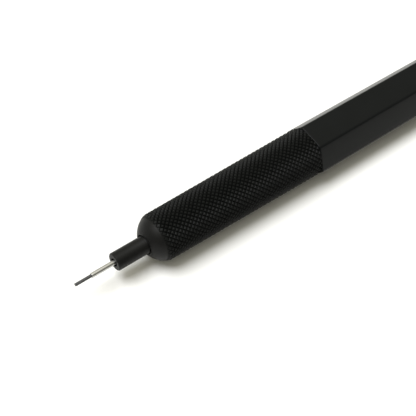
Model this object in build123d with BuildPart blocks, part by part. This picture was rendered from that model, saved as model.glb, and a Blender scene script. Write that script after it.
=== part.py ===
from build123d import *
import math
import os

# A drafting pencil for 0.5 mm lead. It lies along X with its point towards -X, its hexagonal
# barrel resting flat side down and its clip on top. A twist of the rear knob draws the whole
# mechanism back into the grip, and a press on the push cap feeds the lead.
# Millimetres. Z = 0 is the table, and the origin is under the middle of the pencil.
# Places along the pencil are given as distances behind the tip of the lead.

# ---- driving dimensions ------------------------------------------------------------------
LENGTH = 142.0
LEAD_R = 0.25
LEAD_OUT = 2.8              # lead beyond the guide sleeve
SLEEVE_OUT = 4.0            # guide sleeve beyond the tip holder
HOLDER_OUT = 5.5            # tip holder beyond the nose
NOSE_LENGTH = 1.95
KNURL_LENGTH = 30.4
GRIP_FRONT_R = 3.93
GRIP_REAR_R = 4.21
HEX_FLATS = 8.2             # across the barrel's flats
HEX_LENGTH = 69.3
HEX_CORNER_R = 0.6          # rounding of the barrel's long edges
SEAT_LENGTH = 6.5           # round seat behind the hexagon for the clip's band and the trim ring
KNOB_GAP = 0.2
KNOB_LENGTH = 13.9
STROKE = 12.6               # how far the mechanism draws back
KNOB_TURN = 180.0           # degrees of twist for that stroke
RUNNING = 0.05              # radial clearance where turned parts slide
FACE_GAP = 0.05             # gap between the faces of fixed neighbours

# ---- stations along the pencil, behind the tip of the lead ---------------------------------
SLEEVE_FRONT = LEAD_OUT
HOLDER_FRONT = SLEEVE_FRONT + SLEEVE_OUT
NOSE_FRONT = HOLDER_FRONT + HOLDER_OUT
KNURL_FRONT = NOSE_FRONT + NOSE_LENGTH
GRIP_REAR = KNURL_FRONT + KNURL_LENGTH
HEX_FRONT = GRIP_REAR + FACE_GAP
HEX_REAR = HEX_FRONT + HEX_LENGTH
SEAT_REAR = HEX_REAR + SEAT_LENGTH
KNOB_FRONT = SEAT_REAR + KNOB_GAP
KNOB_REAR = KNOB_FRONT + KNOB_LENGTH
PIN_STATION = 84.0          # follower pins with the point out
TUBE_REAR = 131.0           # rear end of the lead tube

# ---- turned diameters, as radii ------------------------------------------------------------
HOLDER_R = 1.45
HOLDER_GUIDE_R = 1.62       # where it runs in the nose bush
NOSE_BORE_R = HOLDER_GUIDE_R + 0.04
HOLDER_BODY_R = 2.3
GRIP_BORE_R = 2.45
BARREL_BORE_R = 3.4
SEAT_R = 3.9
LEAD_TUBE_BORE_R = 1.1
LEAD_TUBE_R = 1.5
MECHANISM_BORE_R = 1.6
MECHANISM_R = 1.95
GUIDE_BORE_R = MECHANISM_R + 0.1
GUIDE_R = 2.4
CAM_BORE_R = GUIDE_R + RUNNING
CAM_R = 2.8
SPIGOT_R = 3.1
CAP_R = 2.7
CAP_BORE_R = 2.05
ERASER_R = 1.6

AXIS_Z = GRIP_REAR_R        # the grip's rear edge and the knob touch the table
HALF = LENGTH / 2
PENCIL_AXIS = Axis((0, 0, AXIS_Z), (1, 0, 0))


def outline(*points):
    """A closed outline of (distance behind the tip, radius) points, above the pencil's axis."""
    with BuildSketch(Plane.XZ) as sketch:
        with BuildLine():
            Polyline([(station - HALF, AXIS_Z + radius) for station, radius in points], close=True)
        make_face()
    return sketch.sketch


def tube(front, rear, bore, radius):
    """The outline of a plain tube between two stations."""
    return outline((front, bore), (front, radius), (rear, radius), (rear, bore))


def cross_section(station):
    """The plane square to the pencil at a station, with its origin on the pencil's axis."""
    return Plane(origin=(station - HALF, 0, AXIS_Z), x_dir=(0, 1, 0), z_dir=(1, 0, 0))


def radial(station, angle):
    """The plane at a station whose normal points out from the axis, angle degrees from +Y to +Z."""
    turn = math.radians(angle)
    return Plane(
        origin=(station - HALF, 0, AXIS_Z),
        x_dir=(1, 0, 0),
        z_dir=(0, math.cos(turn), math.sin(turn)),
    )


# ---- barrel: everything that the hand holds ------------------------------------------------
# The grip is turned from brass, with a blunt rounded nose that runs out into the knurled length,
# and takes the coupling bush at its rear.
NOSE_LIP = 0.6
COUNTERBORE_R = 3.3
COUNTERBORE_FRONT = 38.7
NOSE_BUSH_R = 2.1
NOSE_BUSH_REAR = 16.5
with BuildPart() as grip:
    revolve(
        outline(
            (NOSE_FRONT, NOSE_BORE_R + RUNNING),
            (NOSE_FRONT, 1.9),
            (NOSE_FRONT + 0.35, 2.42),
            (NOSE_FRONT + 0.8, 2.93),
            (NOSE_FRONT + 1.25, 3.31),
            (NOSE_FRONT + 1.7, 3.58),
            (KNURL_FRONT + 0.2, 3.79),
            (KNURL_FRONT + 0.85, GRIP_FRONT_R),
            (GRIP_REAR, GRIP_REAR_R),
            (GRIP_REAR, COUNTERBORE_R),
            (COUNTERBORE_FRONT, COUNTERBORE_R),
            (COUNTERBORE_FRONT, GRIP_BORE_R),
            (NOSE_BUSH_REAR, GRIP_BORE_R),
            (NOSE_BUSH_REAR, NOSE_BUSH_R),
            (NOSE_FRONT + NOSE_LIP, NOSE_BUSH_R),
            (NOSE_FRONT + NOSE_LIP, NOSE_BORE_R + RUNNING),
        ),
        axis=PENCIL_AXIS,
    )
grip.part.label = "grip"

# The guide bush in the nose, which centres the tip holder and stops its shoulder.
with BuildPart() as nose_bush:
    revolve(tube(NOSE_FRONT + NOSE_LIP, NOSE_BUSH_REAR, NOSE_BORE_R, NOSE_BUSH_R), axis=PENCIL_AXIS)
nose_bush.part.label = "nose_bush"

# The threaded bush that joins the grip to the hexagonal barrel.
COUPLING_REAR = 53.0
COUPLING_BORE_R = 2.6
with BuildPart() as coupling_bush:
    revolve(
        outline(
            (COUNTERBORE_FRONT, COUPLING_BORE_R),
            (COUNTERBORE_FRONT, COUNTERBORE_R),
            (HEX_FRONT, COUNTERBORE_R),
            (HEX_FRONT, BARREL_BORE_R),
            (COUPLING_REAR, BARREL_BORE_R),
            (COUPLING_REAR, COUPLING_BORE_R),
        ),
        axis=PENCIL_AXIS,
    )
coupling_bush.part.label = "coupling_bush"

# The hexagonal barrel, with a thin bevel round its front end and a round seat for the clip.
FRONT_BEVEL = 0.12
REAR_BEVEL = 0.2
with BuildPart() as hex_barrel:
    with BuildSketch(cross_section(HEX_FRONT)):
        RegularPolygon(HEX_FLATS / 2, 6, major_radius=False)
    extrude(amount=HEX_LENGTH)
    fillet(hex_barrel.edges().filter_by(Axis.X), HEX_CORNER_R)
    chamfer(hex_barrel.edges().group_by(Axis.X)[0], FRONT_BEVEL)
    chamfer(hex_barrel.edges().group_by(Axis.X)[-1], REAR_BEVEL)
    revolve(tube(HEX_REAR - 1, SEAT_REAR, BARREL_BORE_R, SEAT_R), axis=PENCIL_AXIS)
    revolve(tube(HEX_FRONT - 1, SEAT_REAR + 1, 0, BARREL_BORE_R), axis=PENCIL_AXIS, mode=Mode.SUBTRACT)
hex_barrel.part.label = "hex_barrel"

# The guide tube, fixed in the barrel, keeps the follower pins in two straight slots.
GUIDE_FRONT = 76.0
GUIDE_FLANGE = 3.0
GUIDE_REAR = 104.0
PIN_R = 0.5
PIN_PLAY = 0.06             # between a pin and each side of its slot
SLOT_W = 2 * (PIN_R + PIN_PLAY)
with BuildPart() as guide_tube:
    revolve(tube(GUIDE_FRONT, GUIDE_REAR, GUIDE_BORE_R, GUIDE_R), axis=PENCIL_AXIS)
    revolve(tube(GUIDE_FRONT, GUIDE_FRONT + GUIDE_FLANGE, GUIDE_BORE_R, BARREL_BORE_R), axis=PENCIL_AXIS)
    with BuildSketch(radial(PIN_STATION + STROKE / 2, 0)):
        SlotCenterToCenter(STROKE, SLOT_W)
    extrude(amount=BARREL_BORE_R, both=True, mode=Mode.SUBTRACT)
guide_tube.part.label = "guide_tube"

# The thrust washer in front of the knob's collar, and the split ring that keeps the knob in.
COLLAR_FRONT = 99.0
COLLAR_REAR = 102.0
COLLAR_PLAY = 0.1
WASHER_T = 1.3
WASHER_REAR = COLLAR_FRONT - COLLAR_PLAY
with BuildPart() as thrust_washer:
    revolve(tube(WASHER_REAR - WASHER_T, WASHER_REAR, CAM_R + 0.1, BARREL_BORE_R), axis=PENCIL_AXIS)
thrust_washer.part.label = "thrust_washer"

SPLIT_FRONT = COLLAR_REAR + 0.15
SPLIT_T = 1.0
SPLIT_ARC = 320
with BuildPart() as retaining_ring:
    revolve(
        tube(SPLIT_FRONT, SPLIT_FRONT + SPLIT_T, SPIGOT_R + RUNNING, BARREL_BORE_R),
        axis=PENCIL_AXIS,
        revolution_arc=SPLIT_ARC,
    )
retaining_ring.part.label = "retaining_ring"

# The clip's band, with the boss that its spring arm stands on.
BAND_LENGTH = 5.0
BAND_FRONT = HEX_REAR + FACE_GAP
BAND_REAR = BAND_FRONT + BAND_LENGTH
BAND_R = 4.18
BOSS_TOP = 4.98
BOSS_EDGE = 0.3
CLIP_W = 3.2
with BuildPart() as clip_band:
    revolve(tube(BAND_FRONT, BAND_REAR, 0, BAND_R), axis=PENCIL_AXIS)
    with BuildSketch(cross_section(BAND_FRONT)):
        with Locations((0, BOSS_TOP / 2)):
            Rectangle(CLIP_W, BOSS_TOP)
    extrude(amount=BAND_LENGTH)
    fillet(clip_band.edges().filter_by(Axis.X).sort_by(Axis.Z)[-2:], BOSS_EDGE)
    revolve(tube(BAND_FRONT - 1, BAND_REAR + 1, 0, SEAT_R), axis=PENCIL_AXIS, mode=Mode.SUBTRACT)
clip_band.part.label = "clip_band"

# A plain steel ring finishes the barrel in front of the knob.
TRIM_R = 4.12
TRIM_EDGE = 0.12
with BuildPart() as trim_ring:
    revolve(tube(BAND_REAR + FACE_GAP, SEAT_REAR, SEAT_R, TRIM_R), axis=PENCIL_AXIS)
    chamfer(trim_ring.edges().filter_by(GeomType.CIRCLE).sort_by(SortBy.RADIUS)[-2:], TRIM_EDGE)
trim_ring.part.label = "trim_ring"

# ---- clip: a bent strip of spring steel over the barrel's top flat --------------------------
CLIP_T = 0.7
CLIP_FRONT = 77.5
CLIP_TOUCH = 81.5
CLIP_REST = HEX_FLATS / 2 + 0.15
CLIP_LIP = 0.75             # rise of the lip that leads cloth in under the clip
CLIP_BEND_R = 0.3
ARM_BOTTOM = BOSS_TOP + 0.02
with BuildPart() as clip_arm:
    with BuildSketch(Plane.XZ):
        with BuildLine():
            rear = (BAND_REAR - HALF, AXIS_Z + ARM_BOTTOM)
            level = (BAND_FRONT - HALF, AXIS_Z + ARM_BOTTOM)
            touch = (CLIP_TOUCH - HALF, AXIS_Z + CLIP_REST)
            lead_in = (CLIP_FRONT - HALF, AXIS_Z + CLIP_REST + CLIP_LIP)
            front = (CLIP_FRONT - HALF, AXIS_Z + CLIP_REST + CLIP_LIP + CLIP_T)
            crook = (CLIP_TOUCH - HALF, AXIS_Z + CLIP_REST + CLIP_T)
            shoulder = (BAND_FRONT - HALF, AXIS_Z + ARM_BOTTOM + CLIP_T)
            heel = (BAND_REAR - HALF, AXIS_Z + ARM_BOTTOM + CLIP_T)
            FilletPolyline(
                rear, level, touch, lead_in, front, crook, shoulder, heel,
                radius=CLIP_BEND_R, close=True,
            )
        make_face()
    extrude(amount=CLIP_W / 2, both=True)
clip_arm.part.label = "clip_arm"

# ---- knob: twisting it turns a cam with two helical slots -----------------------------------
RING_GROOVE = 117.5
RING_SECTION = 0.19
GROOVE_HALF = 0.3
GROOVE_R = SPIGOT_R - 0.1
KNOB_EDGE = 0.5
with BuildPart() as twist_knob:
    revolve(
        outline(
            (COLLAR_FRONT, CAM_R),
            (COLLAR_FRONT, BARREL_BORE_R - RUNNING),
            (COLLAR_REAR, BARREL_BORE_R - RUNNING),
            (COLLAR_REAR, SPIGOT_R),
            (RING_GROOVE - GROOVE_HALF, SPIGOT_R),
            (RING_GROOVE - GROOVE_HALF, GROOVE_R),
            (RING_GROOVE + GROOVE_HALF, GROOVE_R),
            (RING_GROOVE + GROOVE_HALF, SPIGOT_R),
            (KNOB_FRONT, SPIGOT_R),
            (KNOB_FRONT, GRIP_REAR_R - KNOB_EDGE),
            (KNOB_FRONT + KNOB_EDGE, GRIP_REAR_R),
            (KNOB_REAR - KNOB_EDGE, GRIP_REAR_R),
            (KNOB_REAR, GRIP_REAR_R - KNOB_EDGE),
            (KNOB_REAR, CAM_R),
        ),
        axis=PENCIL_AXIS,
    )
twist_knob.part.label = "twist_knob"

# A rubber ring gives the knob its firm, even drag.
with BuildPart() as knob_ring:
    with BuildSketch(Plane.XZ):
        with Locations((RING_GROOVE - HALF, AXIS_Z + GROOVE_R + RING_SECTION)):
            Circle(RING_SECTION)
    revolve(axis=PENCIL_AXIS)
knob_ring.part.label = "knob_ring"

# The cam sleeve is pressed into the knob. Its slots fall back by one turn angle per stroke.
CAM_FRONT = 81.0
CAM_REAR = 108.0
CAM_STEPS = 32
CAM_SLOT_R = PIN_R + PIN_PLAY + RUNNING
with BuildPart() as cam_sleeve:
    revolve(tube(CAM_FRONT, CAM_REAR, CAM_BORE_R, CAM_R), axis=PENCIL_AXIS)
    for start in (0, 180):
        for step in range(CAM_STEPS + 1):
            share = step / CAM_STEPS
            with BuildSketch(radial(PIN_STATION + STROKE * share, start - KNOB_TURN * share)):
                Circle(CAM_SLOT_R)
            extrude(amount=CAM_R + 1, mode=Mode.SUBTRACT)
cam_sleeve.part.label = "cam_sleeve"

# ---- carrier: the mechanism that slides in and out of the nose ------------------------------
# The tip holder shows in front of the nose. A wider body behind its shoulder holds the chuck.
SLEEVE_R = 0.4
SLEEVE_REAR = 10.6
RECESS_R = 0.7
RECESS_DEPTH = 0.55
RETAINER_R = 0.95
CHUCK_BORE_FRONT = 17.2
RING_STOP = 21.75
CHUCK_BORE_R = 1.35
RING_BORE_R = 1.65
THREAD_FRONT = 34.0
THREAD_R = MECHANISM_R + 0.01
HOLDER_REAR = 40.0
HOLDER_EDGE = 0.14
with BuildPart() as tip_holder:
    revolve(
        outline(
            (HOLDER_FRONT, RECESS_R),
            (HOLDER_FRONT, HOLDER_R - HOLDER_EDGE),
            (HOLDER_FRONT + HOLDER_EDGE, HOLDER_R),
            (NOSE_FRONT, HOLDER_R),
            (NOSE_FRONT + NOSE_LIP, HOLDER_GUIDE_R),
            (NOSE_BUSH_REAR + 0.05, HOLDER_GUIDE_R),
            (NOSE_BUSH_REAR + 0.05, HOLDER_BODY_R),
            (HOLDER_REAR, HOLDER_BODY_R),
            (HOLDER_REAR, THREAD_R),
            (THREAD_FRONT, THREAD_R),
            (THREAD_FRONT, RING_BORE_R),
            (RING_STOP, RING_BORE_R),
            (RING_STOP, CHUCK_BORE_R),
            (CHUCK_BORE_FRONT, CHUCK_BORE_R),
            (CHUCK_BORE_FRONT, RETAINER_R),
            (SLEEVE_REAR, RETAINER_R),
            (SLEEVE_REAR, SLEEVE_R),
            (HOLDER_FRONT + RECESS_DEPTH, SLEEVE_R),
            (HOLDER_FRONT + RECESS_DEPTH, RECESS_R),
        ),
        axis=PENCIL_AXIS,
    )
tip_holder.part.label = "tip_holder"

# The thin steel sleeve that carries the lead past the edge of a ruler.
SLEEVE_BORE_R = LEAD_R + 0.03
SLEEVE_EDGE = 0.06
with BuildPart() as guide_sleeve:
    revolve(
        outline(
            (SLEEVE_FRONT, SLEEVE_BORE_R),
            (SLEEVE_FRONT, SLEEVE_R - 0.04),
            (SLEEVE_FRONT + SLEEVE_EDGE, SLEEVE_R),
            (SLEEVE_REAR, SLEEVE_R),
            (SLEEVE_REAR, SLEEVE_BORE_R),
        ),
        axis=PENCIL_AXIS,
    )
guide_sleeve.part.label = "guide_sleeve"

# A rubber plug holds the lead while the chuck is open.
RETAINER_FRONT = SLEEVE_REAR + 0.2
RETAINER_LENGTH = 3.0
with BuildPart() as lead_retainer:
    revolve(
        tube(RETAINER_FRONT, RETAINER_FRONT + RETAINER_LENGTH, LEAD_R + 0.01, RETAINER_R),
        axis=PENCIL_AXIS,
    )
lead_retainer.part.label = "lead_retainer"

# The seat that the chuck's spring pushes against.
SPRING_SEAT_FRONT = 25.0
SPRING_SEAT_REAR = 26.2
CHUCK_SHANK_R = 0.8
with BuildPart() as spring_seat:
    revolve(tube(SPRING_SEAT_FRONT, SPRING_SEAT_REAR, CHUCK_SHANK_R + 0.1, RING_BORE_R), axis=PENCIL_AXIS)
spring_seat.part.label = "spring_seat"

# The long brass tube that screws into the tip holder and is pulled by the follower pins.
MECHANISM_REAR = 108.0
with BuildPart() as mechanism_tube:
    revolve(tube(THREAD_FRONT, MECHANISM_REAR, MECHANISM_BORE_R, MECHANISM_R), axis=PENCIL_AXIS)
    with BuildSketch(radial(PIN_STATION, 0)):
        Circle(PIN_R)
    extrude(amount=GUIDE_R, both=True, mode=Mode.SUBTRACT)
mechanism_tube.part.label = "mechanism_tube"

with BuildPart() as follower_pins:
    for side in (0, 180):
        with BuildSketch(radial(PIN_STATION, side).offset(MECHANISM_BORE_R + 0.05)):
            Circle(PIN_R)
        extrude(amount=CAM_R - MECHANISM_BORE_R - 0.1)
follower_pins.part.label = "follower_pins"

# ---- pusher: the chuck on the end of the lead tube -------------------------------------------
CHUCK_FRONT = 21.0
CHUCK_REAR = 38.6
LEAD_TUBE_FRONT = 36.2
CHUCK_HEAD_R = 1.25
JAWS = 3
JAW_LENGTH = 6.0            # jaws grip the lead over this length
JAW_BORE_R = LEAD_R + 0.03
PASSAGE_R = LEAD_R + 0.25
SLIT = 0.16
SLIT_LENGTH = 12.0
with BuildPart() as chuck:
    revolve(
        outline(
            (CHUCK_FRONT, JAW_BORE_R),
            (CHUCK_FRONT, CHUCK_HEAD_R - 0.1),
            (CHUCK_FRONT + 0.2, CHUCK_HEAD_R),
            (CHUCK_FRONT + 1.2, CHUCK_HEAD_R),
            (CHUCK_FRONT + 3.6, CHUCK_SHANK_R),
            (LEAD_TUBE_FRONT, CHUCK_SHANK_R),
            (LEAD_TUBE_FRONT, LEAD_TUBE_BORE_R),
            (CHUCK_REAR, LEAD_TUBE_BORE_R),
            (CHUCK_REAR, PASSAGE_R),
            (CHUCK_FRONT + JAW_LENGTH, PASSAGE_R),
            (CHUCK_FRONT + JAW_LENGTH, JAW_BORE_R),
        ),
        axis=PENCIL_AXIS,
    )
    with BuildSketch(cross_section(CHUCK_FRONT)):
        with PolarLocations(CHUCK_HEAD_R / 2 + 0.1, JAWS, start_angle=90):
            Rectangle(CHUCK_HEAD_R + 0.2, SLIT)
    extrude(amount=SLIT_LENGTH, mode=Mode.SUBTRACT)
chuck.part.label = "chuck"

with BuildPart() as lead_tube:
    revolve(tube(LEAD_TUBE_FRONT, TUBE_REAR, LEAD_TUBE_BORE_R, LEAD_TUBE_R), axis=PENCIL_AXIS)
lead_tube.part.label = "lead_tube"

# The brass cup on the tube's rear end holds the eraser, and the push cap grips it.
CUP_FRONT = 128.0
CUP_REAR = 136.0
CUP_R = CAP_BORE_R - 0.04
CUP_FLOOR = TUBE_REAR + 0.6
ERASER_BORE_R = ERASER_R + 0.05
with BuildPart() as eraser_cup:
    revolve(
        outline(
            (CUP_FRONT, LEAD_TUBE_R),
            (CUP_FRONT, CUP_R),
            (CUP_REAR, CUP_R),
            (CUP_REAR, ERASER_BORE_R),
            (CUP_FLOOR, ERASER_BORE_R),
            (CUP_FLOOR, LEAD_TUBE_BORE_R),
            (TUBE_REAR, LEAD_TUBE_BORE_R),
            (TUBE_REAR, LEAD_TUBE_R),
        ),
        axis=PENCIL_AXIS,
    )
eraser_cup.part.label = "eraser_cup"

# The spring round the chuck's shank, drawn as a round wire coil.
SPRING_PLAY = 0.25
SPRING_FRONT = SPRING_SEAT_REAR + SPRING_PLAY
SPRING_REAR = LEAD_TUBE_FRONT - SPRING_PLAY
SPRING_TURNS = 8
SPRING_R = 1.22
WIRE_R = 0.14
with BuildPart() as chuck_spring:
    with BuildLine() as coil:
        Helix(
            pitch=(SPRING_REAR - SPRING_FRONT) / SPRING_TURNS,
            height=SPRING_REAR - SPRING_FRONT,
            radius=SPRING_R,
            center=(SPRING_FRONT - HALF, 0, AXIS_Z),
            direction=(1, 0, 0),
        )
    with BuildSketch(Plane(origin=coil.line @ 0, z_dir=coil.line % 0)):
        Circle(WIRE_R)
    sweep(is_frenet=True)
chuck_spring.part.label = "chuck_spring"

# The clutch ring closes the chuck's jaws on the lead.
RING_FRONT = 22.6
RING_LENGTH = 1.6
RING_INNER_R = 1.2
with BuildPart() as clutch_ring:
    revolve(
        tube(RING_FRONT, RING_FRONT + RING_LENGTH, RING_INNER_R, RING_BORE_R - RUNNING),
        axis=PENCIL_AXIS,
    )
clutch_ring.part.label = "clutch_ring"

# ---- cap and eraser ----------------------------------------------------------------------------
CAP_FRONT = 121.0
CAP_WALL = 1.0
CAP_EDGE = 0.4
with BuildPart() as push_cap:
    revolve(
        outline(
            (CAP_FRONT, CAP_BORE_R),
            (CAP_FRONT, CAP_R),
            (LENGTH - CAP_EDGE, CAP_R),
            (LENGTH, CAP_R - CAP_EDGE),
            (LENGTH, 0),
            (LENGTH - CAP_WALL, 0),
            (LENGTH - CAP_WALL, CAP_BORE_R),
        ),
        axis=PENCIL_AXIS,
    )
push_cap.part.label = "push_cap"

ERASER_FRONT = CUP_FLOOR + 0.1
ERASER_REAR = 139.5
ERASER_EDGE = 0.3
with BuildPart() as eraser:
    revolve(tube(ERASER_FRONT, ERASER_REAR, 0, ERASER_R), axis=PENCIL_AXIS)
    fillet(eraser.edges().group_by(Axis.X)[-1], ERASER_EDGE)
eraser.part.label = "eraser"

# ---- leads ---------------------------------------------------------------------------------------
LEAD_LENGTH = 60.0
with BuildPart() as lead:
    revolve(tube(0, LEAD_LENGTH, 0, LEAD_R), axis=PENCIL_AXIS)
lead.part.label = "lead"

SPARE_FRONT = 66.0
SPARES = 3
SPARE_CIRCLE = LEAD_TUBE_BORE_R - LEAD_R - 0.04
with BuildPart() as spare_leads:
    with BuildSketch(cross_section(SPARE_FRONT)):
        with PolarLocations(SPARE_CIRCLE, SPARES, start_angle=-130, angular_range=120):
            Circle(LEAD_R)
    extrude(amount=LEAD_LENGTH)
spare_leads.part.label = "spare_leads"

os.makedirs("parts", exist_ok=True)
for piece in (
    grip, nose_bush, coupling_bush, hex_barrel, guide_tube, thrust_washer, retaining_ring,
    clip_band, trim_ring, clip_arm, twist_knob, knob_ring, cam_sleeve, tip_holder, guide_sleeve,
    lead_retainer, spring_seat, mechanism_tube, follower_pins, chuck, lead_tube, eraser_cup,
    chuck_spring, clutch_ring, push_cap, eraser, lead, spare_leads,
):
    export_step(piece.part, "parts/" + piece.part.label + ".step")
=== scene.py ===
import math

import bmesh
import bpy
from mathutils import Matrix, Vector


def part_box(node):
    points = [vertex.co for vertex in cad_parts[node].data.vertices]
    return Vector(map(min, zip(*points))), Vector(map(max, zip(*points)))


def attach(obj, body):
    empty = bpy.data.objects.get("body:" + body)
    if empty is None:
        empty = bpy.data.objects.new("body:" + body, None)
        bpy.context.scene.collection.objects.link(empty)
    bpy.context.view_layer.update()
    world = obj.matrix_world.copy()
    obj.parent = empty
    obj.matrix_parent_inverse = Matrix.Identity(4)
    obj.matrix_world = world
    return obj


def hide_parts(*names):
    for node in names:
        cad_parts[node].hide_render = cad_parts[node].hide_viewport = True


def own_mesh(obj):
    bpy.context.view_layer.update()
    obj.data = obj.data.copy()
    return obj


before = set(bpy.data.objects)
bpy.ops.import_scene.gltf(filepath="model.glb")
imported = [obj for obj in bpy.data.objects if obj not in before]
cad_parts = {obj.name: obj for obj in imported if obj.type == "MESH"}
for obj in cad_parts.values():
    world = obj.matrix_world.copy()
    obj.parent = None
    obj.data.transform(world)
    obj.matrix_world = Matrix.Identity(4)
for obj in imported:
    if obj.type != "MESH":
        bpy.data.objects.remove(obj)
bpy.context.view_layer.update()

# ==== The lead ==================================================================================
# A 0.5 mm stick of fired graphite and clay, extruded and cut square. It is held by the chuck and
# slides through the guide sleeve. The pencil's axis and every place along it are measured from it.

MM = 0.001
lead_front, lead_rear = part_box("lead")
TIP_X = lead_front.x
AXIS_HEIGHT = (lead_front.z + lead_rear.z) / 2
LEAD_LENGTH = (lead_rear.x - lead_front.x) / MM
LEAD_R = 0.25
LEAD_WORN_EDGE = 0.03
LEAD_CUT_EDGE = 0.02
ROUND_STEPS = 4
ON_AXIS = 1e-6


def along(place):
    """The x of a place, given in millimetres behind the tip of the lead."""
    return TIP_X + place * MM


def softened(corners):
    """A turned outline with its corners rounded.

    A corner is (place, radius), or (place, radius, rounding) with all three in millimetres.
    """
    points = []
    count = len(corners)
    for index, corner in enumerate(corners):
        here = Vector(corner[:2])
        rounding = corner[2] if len(corner) > 2 else 0
        if not rounding:
            points.append(here)
            continue
        back = (Vector(corners[index - 1][:2]) - here).normalized()
        on = (Vector(corners[(index + 1) % count][:2]) - here).normalized()
        start = here + back * rounding
        stop = here + on * rounding
        for step in range(ROUND_STEPS + 1):
            share = step / ROUND_STEPS
            points.append(start.lerp(here, share).lerp(here.lerp(stop, share), share))
    return points


def new_object(name, mesh):
    """An object for a finished mesh, in the scene."""
    piece = bpy.data.objects.new(name, mesh)
    bpy.context.scene.collection.objects.link(piece)
    return piece


def turned_shell(solid, corners, sides):
    """Adds a closed turned shell to a bmesh: an outline of (place, radius) spun about the axis."""
    rings = []
    for place, radius in softened(corners):
        if radius < ON_AXIS:
            rings.append([solid.verts.new((along(place), 0, AXIS_HEIGHT))])
            continue
        ring = []
        for side in range(sides):
            turn = 2 * math.pi * side / sides
            up = AXIS_HEIGHT + radius * MM * math.sin(turn)
            ring.append(solid.verts.new((along(place), radius * MM * math.cos(turn), up)))
        rings.append(ring)
    for ring, after in zip(rings, rings[1:] + rings[:1]):
        if len(ring) == 1 and len(after) == 1:
            continue
        for side in range(sides):
            nearby = (side + 1) % sides
            if len(ring) == 1:
                solid.faces.new((ring[0], after[side], after[nearby]))
            elif len(after) == 1:
                solid.faces.new((ring[side], after[0], ring[nearby]))
            else:
                solid.faces.new((ring[side], after[side], after[nearby], ring[nearby]))


def finished_mesh(name, solid, sharp_angle=32):
    """Turns a bmesh into a mesh with its faces outwards, smooth but for its real edges."""
    bmesh.ops.recalc_face_normals(solid, faces=solid.faces)
    mesh = bpy.data.meshes.new(name)
    solid.to_mesh(mesh)
    solid.free()
    mesh.shade_smooth()
    mesh.set_sharp_from_angle(angle=math.radians(sharp_angle))
    return mesh


def turned(name, corners, sides=128):
    """A turned piece: a closed outline, spun about the pencil's axis."""
    solid = bmesh.new()
    turned_shell(solid, corners, sides)
    return new_object(name, finished_mesh(name, solid))


def add_node(tree, kind, inputs=None, **settings):
    """A node with its settings, and its inputs given as values or as other nodes' outputs."""
    node = tree.nodes.new(kind)
    for setting, value in settings.items():
        setattr(node, setting, value)
    for key, value in (inputs or {}).items():
        if isinstance(value, bpy.types.NodeSocket):
            tree.links.new(value, node.inputs[key])
        else:
            node.inputs[key].default_value = value
    return node


def new_finish(name, **values):
    """A material with one Principled shader, whose even values are set on its own sockets."""
    finish = bpy.data.materials.new(name)
    finish.use_nodes = True
    shader = finish.node_tree.nodes["Principled BSDF"]
    for socket, value in values.items():
        shader.inputs[socket.replace("_", " ")].default_value = value
    return finish, finish.node_tree, shader


def object_place(tree):
    """The surface's own coordinates, which move with the piece."""
    return add_node(tree, "ShaderNodeTexCoord").outputs["Object"]


def two_tones(tree, factor, dark, light):
    """A colour between two tones."""
    tones = add_node(tree, "ShaderNodeMix", {"Factor": factor}, data_type="RGBA")
    tones.inputs["A"].default_value = (*dark, 1)
    tones.inputs["B"].default_value = (*light, 1)
    return tones.outputs["Result"]


def coloured(tree, shader, factor, dark, light):
    """Gives the shader a colour between two tones."""
    tree.links.new(two_tones(tree, factor, dark, light), shader.inputs["Base Color"])


def polished(tree, shader, factor, smoothest, roughest):
    """Gives the shader a roughness between two values."""
    span = {"Value": factor, "To Min": smoothest, "To Max": roughest}
    roughness = add_node(tree, "ShaderNodeMapRange", span).outputs["Result"]
    tree.links.new(roughness, shader.inputs["Roughness"])


def noise(tree, vector, scale, detail):
    """An even cloud of noise, from 0 to 1."""
    inputs = {"Vector": vector, "Scale": scale, "Detail": detail}
    return add_node(tree, "ShaderNodeTexNoise", inputs).outputs["Fac"]


def bumped(tree, shader, height, depth):
    """Gives the shader a relief of that depth, in metres."""
    bump = add_node(tree, "ShaderNodeBump", {"Height": height, "Distance": depth, "Strength": 1.0})
    tree.links.new(bump.outputs["Normal"], shader.inputs["Normal"])


graphite, tree, shader = new_finish("graphite", Metallic=0.35)
grain = noise(tree, object_place(tree), scale=9000.0, detail=3.0)
coloured(tree, shader, grain, dark=(0.02, 0.02, 0.021), light=(0.12, 0.12, 0.124))
polished(tree, shader, grain, smoothest=0.38, roughest=0.6)
bumped(tree, shader, grain, depth=0.004 * MM)

lead = turned(
    "lead_stick",
    [
        (0, 0),
        (0, LEAD_R, LEAD_WORN_EDGE),
        (LEAD_LENGTH, LEAD_R, LEAD_CUT_EDGE),
        (LEAD_LENGTH, 0),
    ],
    sides=40,
)
lead.data.materials.append(graphite)
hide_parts("lead")
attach(lead, "lead")

# Spare leads lie loose in the tube behind it.
spare_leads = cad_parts["spare_leads"]
spare_leads.data.materials.clear()
spare_leads.data.materials.append(graphite)

# ==== The guide sleeve ==========================================================================
# A drawn steel tube, 4 mm clear of the holder, which carries the lead past a ruler's edge. It is
# pressed into the tip holder, and its end is ground square with the corner just broken.

SLEEVE_R = 0.4
SLEEVE_BORE_R = 0.28
SLEEVE_EDGE = 0.06
SLEEVE_BORE_EDGE = 0.03
STEEL_MARKS = 0.09 * MM
ACROSS_SHARE = 0.02     # how much a turning mark wanders round the piece
sleeve_front, sleeve_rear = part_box("guide_sleeve")


def behind_tip(x):
    """How many millimetres an x lies behind the tip of the lead."""
    return (x - TIP_X) / MM


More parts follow.
